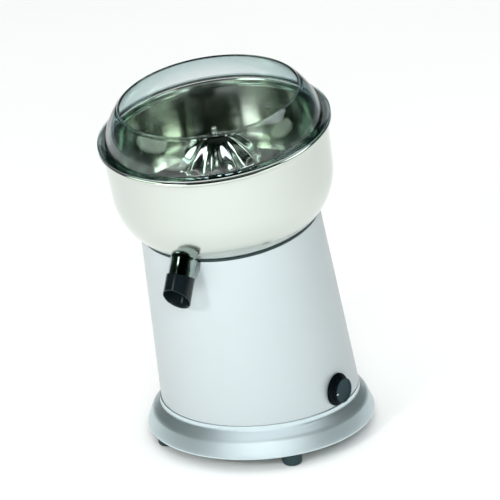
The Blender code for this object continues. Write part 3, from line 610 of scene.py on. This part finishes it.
def build_column():
    deck_low = DECK_TOP - DECK_T
    foot_r = column_radius(COLUMN_CUT)
    side = line((COLUMN_TOP_R, COLUMN_TOP - COLUMN_EDGE), (foot_r, COLUMN_CUT), 44)
    wall = [
        (foot_r, COLUMN_CUT), (foot_r - COLUMN_WALL, COLUMN_CUT),
        (column_radius(deck_low) - COLUMN_WALL, deck_low, 0.004),
    ]
    bearing_housing = [
        (0.024, deck_low), (0.024, BEARING_LOW),
        (BEARING_R + GAP, BEARING_LOW), (BEARING_R + GAP, BEARING_HIGH),
        (SHAFT_BORE_R, BEARING_HIGH), (SHAFT_BORE_R, SEAL_LOW),
        (SEAL_BORE_R, SEAL_LOW), (SEAL_BORE_R, HUB_TOP),
        (HUB_R, HUB_TOP, 0.001), (HUB_R + 0.0005, 0.1925, 0.002), (0.0225, DECK_TOP),
    ]
    deck = [(0.0825, DECK_TOP), (GASKET_SEAT[0], 0.192), GASKET_SEAT]
    top = [(COLUMN_TOP_R - 0.0001, COLUMN_TOP, 0.0006)]
    profile = softened(top + side[1:] + wall + bearing_housing + deck)
    to_local = COLUMN.inverted()
    flat_foot = (
        block((0.3, 0.3, 0.08), (0, 0, -0.04)), to_local @ Matrix.Translation((0, BASE_Y, BASE_TOP + GAP)),
    )
    switch_hole = (rod(SWITCH_HOLE_R, -HOLE_REACH, HOLE_REACH), to_local @ SWITCH)
    gland_hole = (rod(GLAND_HOLE_R, -HOLE_REACH, HOLE_REACH), to_local @ GLAND)
    mesh = carved(spun("column_casting", profile), flat_foot, notch(), switch_hole, gland_hole)
    paint = LOOKS["silver_paint"]
    finished("column_casting", mesh, COLUMN, paint, "housing", ["body_shell"], 30)


def corner_point(angle, inset=0.0):
    """Point on the bowl's rounded lower corner, from its side (0) to its floor (a quarter turn)."""
    return (
        CORNER_R + (CORNER_A - inset) * math.cos(angle),
        CORNER_H - (CORNER_B - inset) * math.sin(angle),
    )


def corner_radius(height, inset):
    """Radius of that corner at a height."""
    share = (CORNER_H - height) / (CORNER_B - inset)
    return CORNER_R + (CORNER_A - inset) * math.sqrt(1 - share ** 2)


def build_gasket():
    lift = 0.00045
    radii = [0.0903, 0.0888, 0.0873, 0.0858, 0.0843]
    inner_r, low = GASKET_SEAT
    top = [(r, corner_point(math.acos((r - CORNER_R) / CORNER_A))[1] - lift) for r in radii]
    slope = (COLUMN_TOP - low) / (COLUMN_TOP_R - inner_r)
    seat = [(radius, low + slope * (radius - inner_r) + lift) for radius in (radii[0], radii[-1])]
    mesh = carved(spun("bowl_seal_ring", top[::-1] + seat), notch())
    seal = LOOKS["black_rubber"]
    finished("bowl_seal_ring", mesh, COLUMN, seal, "housing", ["bowl_gasket"])


# ---- bowl, strainer and spout ----
def build_bowl():
    bead = (RIM_R - BEAD_R, RIM_H)
    side = 40
    angles = [math.pi / 2 * step / side for step in range(side + 1)]
    throat = (THROAT_R, RIM_H - BEAD_R - 0.0040)
    outer = arc(bead, BEAD_R, 165, -105, 34)
    outer += bezier(outer[-1], (THROAT_R + 0.0005, RIM_H - BEAD_R - 0.0003), throat, 6)[1:]
    outer += line(throat, corner_point(0), 10)[1:]
    outer += [corner_point(a) for a in angles]
    floor = CORNER_H - CORNER_B
    hole = CHIMNEY_R + BOWL_T + GAP
    flat_r = CORNER_R - 0.004
    edge = line((flat_r, floor), (hole, floor), 8) + [(hole, floor), (hole, floor + BOWL_T)]
    edge += line((hole, floor + BOWL_T), (flat_r, floor + BOWL_T), 8)[1:]
    mouth = (THROAT_BORE_R, RIM_H - 0.0050)
    inner = [corner_point(a, BOWL_T) for a in reversed(angles)]
    inner += line(corner_point(0, BOWL_T), mouth, 10)[1:]
    inner += bezier(mouth, (THROAT_BORE_R + 0.0002, RIM_H - 0.0005), outer[0], 8)[:-1]
    drain = (rod(SPOUT_R + GAP, -0.015, 0.015), aimed(SPOUT_WALL, SPOUT_ALONG))
    mesh = carved(spun("spun_bowl", outer + edge + inner), drain)
    finished("spun_bowl", mesh, COLUMN, BOWL_STEEL, "housing", ["bowl"], 40)


def build_bowl_tube():
    floor = CORNER_H - CORNER_B
    seat = floor + BOWL_T + GAP
    outer = CHIMNEY_R + BOWL_T
    profile = softened([
        (outer, CHIMNEY_TOP, 0.0006), (outer, seat + TUBE_FLANGE_T, 0.0016),
        (TUBE_FLANGE_R, seat + TUBE_FLANGE_T, 0.0006), (TUBE_FLANGE_R, seat), (outer, seat), (outer, floor),
        (CHIMNEY_R, floor, 0.0006), (CHIMNEY_R, CHIMNEY_TOP, 0.0006),
    ])
    mesh = spun("bowl_centre_tube", profile, STEPS // 2)
    finished("bowl_centre_tube", mesh, COLUMN, BOWL_STEEL, "housing", ["bowl_tube"], 40)


def build_strainer():
    inner = CHIMNEY_R + BOWL_T + 0.0006
    low = STRAINER_LOW
    edge = corner_radius(STRAINER_EDGE, BOWL_T + 3 * GAP)
    profile = softened([
        (edge, STRAINER_EDGE + STRAINER_T, 0.0004), (edge, STRAINER_EDGE, 0.0004),
        (STRAINER_FLAT_R, low, 0.003), (inner + STRAINER_T, low, 0.0004), (inner, low + STRAINER_T, 0.0004),
        (inner, low + STRAINER_COLLAR, 0.0003), (inner + STRAINER_T, low + STRAINER_COLLAR, 0.0003),
        (inner + STRAINER_T, low + 2 * STRAINER_T, 0.001),
        (STRAINER_FLAT_R - 0.0005, low + STRAINER_T, 0.003),
        (edge - 0.0009, STRAINER_EDGE + STRAINER_T, 0.0003),
    ])
    holes = []
    for circle, count, first in STRAINER_ROWS:
        for index in range(count):
            place = around(circle, first + 360 / count * index, low)
            holes.append((rod(STRAINER_HOLE_R, -0.003, 0.004, 20), Matrix.Translation(place)))
    mesh = carved(spun("sieve_plate", profile), *holes)
    finished("sieve_plate", mesh, COLUMN, LOOKS["polished_steel"], "housing", ["strainer"])


def spout_frames(first, count):
    """Points and directions along the spout's centre line, from share first of its bend to its mouth."""
    bend, corner = SPOUT_WALL + SPOUT_ALONG * 0.012, SPOUT_WALL + SPOUT_ALONG * 0.030
    frames = []
    for step in range(count):
        t = first + (1 - first) * step / (count - 1)
        place = bend * (1 - t) ** 2 + corner * 2 * t * (1 - t) + SPOUT_MOUTH * t * t
        frames.append((place, ((corner - bend) * (1 - t) + (SPOUT_MOUTH - corner) * t).normalized()))
    return frames


def tube(name, frames, outer, inner, short, swell=()):
    """A bent tube whose slanted mouth lies short of the last frame; swell widens its first rings."""
    verts, faces = [], []
    end, last = frames[-1]
    slant = Vector((0, last.z, -last.y))
    face = (last * math.cos(MOUTH_SLANT) + slant * math.sin(MOUTH_SLANT)).normalized()
    plane = end - last * short
    # Each ring has a place, a direction, a radius and how far it lies behind the mouth. None is a ring of the
    # wall, which keeps its place unless it would pass the mouth.
    rings = []
    for index, (place, along) in enumerate(frames[:-1]):
        rings.append((place, along, outer + (swell[index] if index < len(swell) else 0.0), None))
    rings += [(end, last, outer, LIP), (end, last, outer - LIP, 0.0)]
    rings += [(end, last, inner + LIP, 0.0), (end, last, inner, LIP)]
    rings += [(place, along, inner, None) for place, along in reversed(frames[:-1])]
    side = Vector((1, 0, 0))
    for place, along, radius, behind in rings:
        up = along.cross(side)
        for step in range(SMALL_STEPS):
            turn = math.tau * step / SMALL_STEPS
            point = place + (side * math.cos(turn) + up * math.sin(turn)) * radius
            reach = (plane - point).dot(face) / along.dot(face)
            point += along * (min(0.0, reach - 2 * LIP) if behind is None else reach - behind)
            verts.append(tuple(point))
    for ring in range(len(rings)):
        here, there = ring * SMALL_STEPS, (ring + 1) % len(rings) * SMALL_STEPS
        for step in range(SMALL_STEPS):
            turn = (step + 1) % SMALL_STEPS
            faces.append((here + step, here + turn, there + turn, there + step))
    return clean_mesh(name, verts, faces)


def build_spout():
    start = [(SPOUT_WALL + SPOUT_ALONG * reach, SPOUT_ALONG) for reach in (-0.004, 0.0, 0.004, 0.008)]
    weld = (0.0, 0.0012, 0.0007, 0.0001)
    pipe = tube("drain_spout", start + spout_frames(0.0, 26), SPOUT_R, SPOUT_R - SPOUT_T, PIPE_SHORT, weld)
    finished("drain_spout", pipe, COLUMN, SPOUT_STEEL_PAINTED_SHADE, "housing", ["spout_pipe"], 40)
    name = "spout_sleeve_moulding"
    sleeve = tube(name, spout_frames(0.2, 24), SLEEVE_R, SPOUT_R + GAP, SLEEVE_SHORT)
    finished(name, sleeve, COLUMN, SLEEVE_RUBBER, "housing", ["spout_sleeve"], 40)


# ---- splash guard and reamer ----
def build_guard():
    seat = RIM_H + BEAD_R + GAP
    flange_top = seat + FLANGE_T
    bore = GUARD_FOOT_R - GUARD_T
    shoulder = GUARD_TOP - 0.0150
    foot = (GUARD_FOOT_R + 0.0004, flange_top)
    outer = bezier((GUARD_TOP_R, GUARD_TOP), (GUARD_SHOULDER_R, shoulder), foot, 30)
    flange = softened([
        (GUARD_FOOT_R + 0.0008, flange_top), (FLANGE_R, flange_top, 0.0007), (FLANGE_R, seat, 0.0005),
        (GUARD_FOOT_R, seat, 0.0004), (GUARD_FOOT_R, GUARD_SKIRT, 0.0006),
        (bore, GUARD_SKIRT, 0.0006), (bore, flange_top - 0.0002),
    ], 6, False)
    top = (GUARD_TOP_R - GUARD_T, GUARD_TOP - 0.0002)
    inner = bezier((bore, flange_top), (GUARD_SHOULDER_R - GUARD_T, shoulder - 0.0006), top, 30)
    lip = arc((GUARD_TOP_R - GUARD_T / 2, GUARD_TOP - GUARD_T / 2), GUARD_T / 2, 170, 10, 12)
    mesh = spun("guard_moulding", outer[2:] + flange + inner[:-2] + lip)
    acrylic = LOOKS["clear_plastic"]
    finished("guard_moulding", mesh, COLUMN, acrylic, "guard", ["splash_guard"], 50)


def dome_radius(height):
    """Radius over the ribs' crests at a height above the reamer's foot."""
    share = min(max(height / REAMER_H, 0.0), 1.0)
    return REAMER_R * (1 - share ** 1.75) ** 0.72


def build_reamer():
    top = REAMER_FOOT + REAMER_H
    nub = softened([
        (0.0, top + 0.0068), (0.0022, top + 0.0066, 0.001), (0.0030, top + 0.0030, 0.001),
        (0.0025, top + 0.0006, 0.0004),
    ], 6, False)
    rows = 44
    shares = [0.992 * math.cos(math.pi / 2 * step / rows) for step in range(rows + 1)]
    dome = [(dome_radius(REAMER_H * share), REAMER_FOOT + REAMER_H * share) for share in shares]
    under = softened([
        (REAMER_R, REAMER_FOOT), (0.0402, 0.2590, 0.0004), (0.0387, 0.2578, 0.0006), (0.0385, 0.2545, 0.0005),
        (0.0352, 0.2545, 0.0004), (0.0346, 0.2600, 0.002), (0.0150, 0.2720, 0.003),
        (REAMER_HUB_R, 0.2700, 0.001), (REAMER_HUB_R, REAMER_HUB_LOW, 0.0006),
        (REAMER_BORE_R, REAMER_HUB_LOW, 0.0003), (REAMER_BORE_R, REAMER_BORE_TOP), (0.0, REAMER_BORE_TOP),
    ], 6, False)

    def fluted(radius, height, turn):
        """Hollows between the ribs, which fade out at the foot and at the top of the dome."""
        rise = height - REAMER_FOOT
        if not 0.0 < rise < 0.993 * REAMER_H or abs(radius - dome_radius(rise)) > 0.00001:
            return radius
        valley = (0.5 - 0.5 * math.cos(REAMER_RIBS * turn)) ** 0.62
        fade = math.sin(math.pi * min(1.0, rise / REAMER_H * 0.92 + 0.08)) ** 0.6
        return radius * (1 - FLUTE_DEPTH * valley * fade)

    mesh = spun("ribbed_reamer", nub + dome + under[1:], REAMER_STEPS, False, fluted)
    slot = (block((0.028, 2 * PIN_R + 0.001, 0.010), (0, 0, REAMER_HUB_LOW)), Matrix.Identity(4))
    mesh = carved(mesh, slot)
    finished("ribbed_reamer", mesh, COLUMN, REAMER_STEEL, "reamer", ["reamer"], 45)


# ---- knob and cable gland ----
def build_knob():
    grip_foot_r = KNOB_GRIP_R + KNOB_GRIP_SWELL

    def gripped(radius, height, turn):
        if radius < KNOB_GRIP_R - 0.0004 or not KNOB_GRIP_LOW + 0.0002 < height < KNOB_FACE - 0.0008:
            return radius
        return radius - 0.00035 * (0.5 - 0.5 * math.cos(KNOB_RIBS * turn))

    face = [
        (0.0, KNOB_FACE - 0.0005), (0.0098, KNOB_FACE - 0.0005, 0.0002), (0.0101, KNOB_FACE, 0.0002),
        (KNOB_GRIP_R, KNOB_FACE, 0.0009),
    ]
    side = line((KNOB_GRIP_R, KNOB_FACE - 0.0010), (grip_foot_r, KNOB_GRIP_LOW), 8)
    skirt = [
        (grip_foot_r, KNOB_GRIP_LOW, 0.0004), (KNOB_SKIRT_R - 0.0012, 0.0036, 0.0008),
        (KNOB_SKIRT_R, 0.0020, 0.0008), (KNOB_SKIRT_R, 0.0006, 0.0002), (0.0095, 0.0006), (0.0095, 0.0033),
    ]
    bore = [(KNOB_BORE_R, 0.0033), (KNOB_BORE_R, KNOB_FACE - 0.0020), (0.0, KNOB_FACE - 0.0020)]
    profile = softened(face + side + skirt + bore, 5, False)
    mesh = spun("rotary_knob", profile, STEPS_PER_RIB * KNOB_RIBS, False, gripped)
    knob = finished("rotary_knob", mesh, SWITCH, KNOB_PLASTIC, "switch", ["switch_knob"])
    # The face takes the lighter copy, which paints the light falling on it.
    knob.data.materials.append(KNOB_FACE_PAINTED_LIGHT)
    for polygon in knob.data.polygons:
        if polygon.center.z > KNOB_FACE - 0.0007:
            polygon.material_index = 1

    # The white mark lies on the face and points to the front of the machine
    forward = SWITCH.to_3x3().inverted() @ Vector((0, -1, 0))
    turn = Matrix.Rotation(math.atan2(forward.y, forward.x), 4, "Z")
    bm = bmesh.new()
    bmesh.ops.create_cube(bm, size=1, matrix=Matrix.Diagonal((*POINTER_SIZE, 1)))
    bmesh.ops.bevel(bm, geom=bm.edges[:], offset=0.0003, segments=3, affect="EDGES", profile=0.5)
    pointer = bpy.data.meshes.new("knob_pointer")
    bm.to_mesh(pointer)
    bm.free()
    place = SWITCH @ turn @ Matrix.Translation((KNOB_GRIP_R - 0.0014, 0, KNOB_FACE + 0.0001))
    finished("knob_pointer", pointer, place, POINTER_PAINT, "switch", [])


def build_gland():
    rib_low, rib_high = 0.0012, 0.0043

    def ribbed(radius, height, turn):
        if radius < GLAND_R - 0.0002 or not rib_low + 0.0002 < height < rib_high - 0.0003:
            return radius
        return radius - 0.0004 * (0.5 - 0.5 * math.cos(GLAND_RIBS * turn)) ** 2

    nose = [(0.0092, GLAND_FRONT, 0.0009), (GLAND_R, 0.0047, 0.0006)]
    side = line((GLAND_R, rib_high), (GLAND_R, rib_low), 8)
    thread = [(GLAND_R, 0.0009), (GLAND_THREAD_R, 0.0009), (GLAND_THREAD_R, GLAND_BACK, 0.0003)]
    bore = [(GLAND_BORE_R, GLAND_BACK, 0.0003), (GLAND_BORE_R, GLAND_FRONT, 0.0008)]
    profile = softened(nose + side + thread + bore)
    mesh = spun("cord_gland", profile, STEPS_PER_RIB * GLAND_RIBS, True, ribbed)
    moulding = LOOKS["black_plastic"]
    finished("cord_gland", mesh, GLAND, moulding, "housing", ["cable_gland"])


def dress_frame():
    """Every CAD node that still shows gets the look of its material slot."""
    slots = {part["node"]: part["material_slot"] for part in frame["record"]["subparts"]}
    for name, node in frame["nodes"].items():
        node.data.materials.clear()
        node.data.materials.append(LOOKS[slots[name]])


# ---- studio ----
CENTRE = Vector((0, 0, 0.22))       # what the lights face
FLOOR_SIZE = 9
SUN_STRENGTH = 3.2
SUN_WIDTH = math.radians(110)
WORLD_STRENGTH = 0.25
DARK_AZIMUTH, DARK_RISE = 32, 0.35  # middle of the world's darkest part
CARD_DISTANCE = 1.5
ELLIPSE_POWER = math.pi ** 2 / 4    # watts of an oval lamp of brightness 1, per square metre of its box

FOCAL_PIXELS = 2600
FRAME_PIXELS = 500
SENSOR = 36.0
CAMERA_AZIMUTH = math.radians(29.5)
CAMERA_DISTANCE = 2.4772
CAMERA_HEIGHT = 1.1119
PITCH = math.radians(20.32)
YAW = math.radians(0.03)
ROLL = math.radians(4.48)

# Lamps that no polished surface shows: azimuth, elevation, distance, size, watts, colour.
# The rear one lights the lacquered pieces only.
LACQUERED = ["column_casting", "base_casting"]
FILLS = {
    "main_fill": (33, 26, 2.2, (1.0, 1.0), 24, (0.90, 0.98, 1.0)),
    "left_key": (-6, 24, 2.0, (0.25, 0.25), 11, (1.0, 1.0, 0.99)),
    "rear_fill": (209, 26, 2.4, (0.8, 0.8), 12, (0.95, 0.99, 1.0)),
}
# Groups of pieces, and the cards that they reflect: azimuth, elevation, size, brightness, colour
CARDS = {
    "steel_only": ([
        "spun_bowl", "bowl_centre_tube", "sieve_plate", "ribbed_reamer", "guard_moulding", "column_casting",
    ], {
        "left_card": (-16, 10, (0.8, 0.5), 4.2, (0.84, 1.0, 0.88)),
        "left_high_card": (-46, 30, (0.9, 0.6), 2.8, (0.78, 1.0, 0.82)),
        "front_low_card": (75, 10, (0.75, 0.5), 1.7, (0.86, 1.0, 0.90)),
        "side_card": (104, 30, (0.72, 0.5), 2.2, (0.80, 1.0, 0.80)),
        "side_high_card": (112, 50, (0.75, 0.6), 3.8, (0.88, 0.98, 1.0)),
        "front_high_card": (45, 50, (1.2, 0.5), 0.2, (0.76, 1.0, 0.76)),
        "rear_side_card": (134, 10, (0.75, 0.5), 0.5, (0.5, 1.0, 0.6)),
        "rear_card": (205, 34, (1.2, 0.35), 0.7, (0.96, 1.0, 1.0)),
    }),
    "spout_only": (["drain_spout", "spout_sleeve_moulding"], {
        "spout_card": (-20, 28, (0.3, 0.3), 5.0, (0.92, 1.0, 0.94)),
    }),
    "reamer_only": (["ribbed_reamer"], {
        "reamer_card": (-14, 48, (0.9, 0.7), 2.0, (0.95, 0.98, 1.0)),
    }),
    "base_only": (["base_casting"], {
        "base_top_card": (46, 72, (2.6, 1.0), 1.6, (0.95, 0.98, 1.0)),
        "base_front_card": (28, 20, (3.2, 0.7), 2.0, (0.97, 0.99, 1.0)),
    }),
}


def build_floor():
    look = Look("floor_paper", (0.90, 0.91, 0.90), 0.9)
    patches = look.noise(look.local, 1.5, 2.0)
    look.ramp(patches, [(0.3, (0.895, 0.905, 0.90)), (0.7, (0.91, 0.92, 0.91))], "Base Color")
    bm = bmesh.new()
    bmesh.ops.create_grid(bm, x_segments=8, y_segments=8, size=FLOOR_SIZE)
    mesh = bpy.data.meshes.new("floor")
    bm.to_mesh(mesh)
    bm.free()
    floor = bpy.data.objects.new("floor", mesh)
    bpy.context.scene.collection.objects.link(floor)
    mesh.materials.append(look.material)


def area_light(name, azimuth, elevation, distance, size, power, colour, mirrored):
    """An oval soft light that faces the machine, for reflections only if mirrored, else for all the rest."""
    turn, rise = math.radians(azimuth), math.radians(elevation)
    back = Vector((math.sin(turn) * math.cos(rise), -math.cos(turn) * math.cos(rise), math.sin(rise)))
    light = bpy.data.lights.new(name, "AREA")
    light.shape = "ELLIPSE"
    light.size, light.size_y = size
    light.energy = power
    light.color = colour
    obj = bpy.data.objects.new(name, light)
    bpy.context.scene.collection.objects.link(obj)
    obj.location = CENTRE + back * distance
    obj.rotation_euler = (-back).to_track_quat("-Z", "Y").to_euler()
    obj.visible_camera = False
    obj.visible_diffuse = not mirrored
    obj.visible_glossy = mirrored
    obj.visible_transmission = mirrored
    return obj


def receivers(name, pieces):
    """A collection of the pieces that a light is kept to."""
    group = bpy.data.collections.new(name)
    for piece in pieces:
        group.objects.link(bpy.data.objects[piece])
    return group


def build_world():
    """Pale near the horizon and dark overhead, darkest on the side that the bowl's back wall faces."""
    world = bpy.data.worlds.new("studio")
    bpy.context.scene.world = world
    world.use_nodes = True
    tree = world.node_tree
    background = tree.nodes["Background"]
    coords = tree.nodes.new("ShaderNodeTexCoord")
    parts = tree.nodes.new("ShaderNodeSeparateXYZ")
    rise = tree.nodes.new("ShaderNodeValToRGB")
    tree.links.new(coords.outputs["Generated"], parts.inputs[0])
    tree.links.new(parts.outputs["Z"], rise.inputs["Fac"])
    spread_stops(rise, [
        (0.0, (0.72, 0.84, 0.86)), (0.10, (0.42, 0.56, 0.57)), (0.24, (0.06, 0.11, 0.07)),
        (0.6, (0.022, 0.05, 0.025)), (1.0, (0.007, 0.016, 0.009)),
    ])
    facing = tree.nodes.new("ShaderNodeVectorMath")
    facing.operation = "DOT_PRODUCT"
    facing.inputs[1].default_value = around(1, DARK_AZIMUTH, DARK_RISE)
    tree.links.new(coords.outputs["Generated"], facing.inputs[0])
    shade = tree.nodes.new("ShaderNodeValToRGB")
    tree.links.new(facing.outputs["Value"], shade.inputs["Fac"])
    spread_stops(shade, [
        (0.0, (1, 1, 1)), (0.70, (1, 1, 1)), (0.90, (0.10, 0.14, 0.08)), (1.0, (0.05, 0.08, 0.04)),
    ])
    both = tree.nodes.new("ShaderNodeMix")
    both.data_type = "RGBA"
    both.blend_type = "MULTIPLY"
    both.inputs["Factor"].default_value = 1.0
    tree.links.new(rise.outputs["Color"], both.inputs["A"])
    tree.links.new(shade.outputs["Color"], both.inputs["B"])
    tree.links.new(both.outputs["Result"], background.inputs["Color"])
    background.inputs["Strength"].default_value = WORLD_STRENGTH


def floor_light():
    """A broad soft sun that lights only the floor, so that it stays an even pale tone."""
    sun = bpy.data.lights.new("floor_light", "SUN")
    sun.energy = SUN_STRENGTH
    sun.angle = SUN_WIDTH
    obj = bpy.data.objects.new("floor_light", sun)
    bpy.context.scene.collection.objects.link(obj)
    obj.visible_camera = False
    obj.visible_glossy = False
    obj.visible_transmission = False
    obj.light_linking.receiver_collection = receivers("floor_only", ["floor"])


def build_lights():
    floor_light()
    for name, (azimuth, elevation, distance, size, power, colour) in FILLS.items():
        fill = area_light(name, azimuth, elevation, distance, size, power, colour, False)
        if name == "rear_fill":
            fill.light_linking.receiver_collection = receivers("lacquered_only", LACQUERED)
    for group, (pieces, cards) in CARDS.items():
        kept_to = receivers(group, pieces)
        for name, (azimuth, elevation, size, brightness, colour) in cards.items():
            power = ELLIPSE_POWER * size[0] * size[1] * brightness
            card = area_light(name, azimuth, elevation, CARD_DISTANCE, size, power, colour, True)
            card.light_linking.receiver_collection = kept_to


def build_camera():
    """Looks down on the machine from its front and right, with a slight roll."""
    data = bpy.data.cameras.new("camera")
    data.sensor_width = SENSOR
    data.lens = FOCAL_PIXELS / FRAME_PIXELS * SENSOR
    camera = bpy.data.objects.new("camera", data)
    bpy.context.scene.collection.objects.link(camera)
    forward = Vector((math.sin(YAW) * math.cos(PITCH), math.cos(YAW) * math.cos(PITCH), -math.sin(PITCH)))
    right = Vector((math.cos(YAW), -math.sin(YAW), 0))
    down = forward.cross(right)
    across = right * math.cos(ROLL) + down * math.sin(ROLL)
    below = down * math.cos(ROLL) - right * math.sin(ROLL)
    axes = Matrix((across, -below, -forward)).transposed()
    place = Vector((0, -CAMERA_DISTANCE, CAMERA_HEIGHT))
    camera.matrix_world = (
        Matrix.Translation((0, BASE_Y, 0)) @ Matrix.Rotation(CAMERA_AZIMUTH, 4, "Z")
        @ Matrix.Translation(place) @ axes.to_4x4()
    )
    bpy.context.scene.camera = camera
    bpy.context.scene.view_settings.view_transform = "Standard"


dress_frame()
build_base_ring()
build_feet()
build_column()
build_gasket()
build_bowl()
build_bowl_tube()
build_strainer()
build_spout()
build_guard()
build_reamer()
build_knob()
build_gland()
build_floor()
build_world()
build_lights()
build_camera()

bpy.context.view_layer.update()
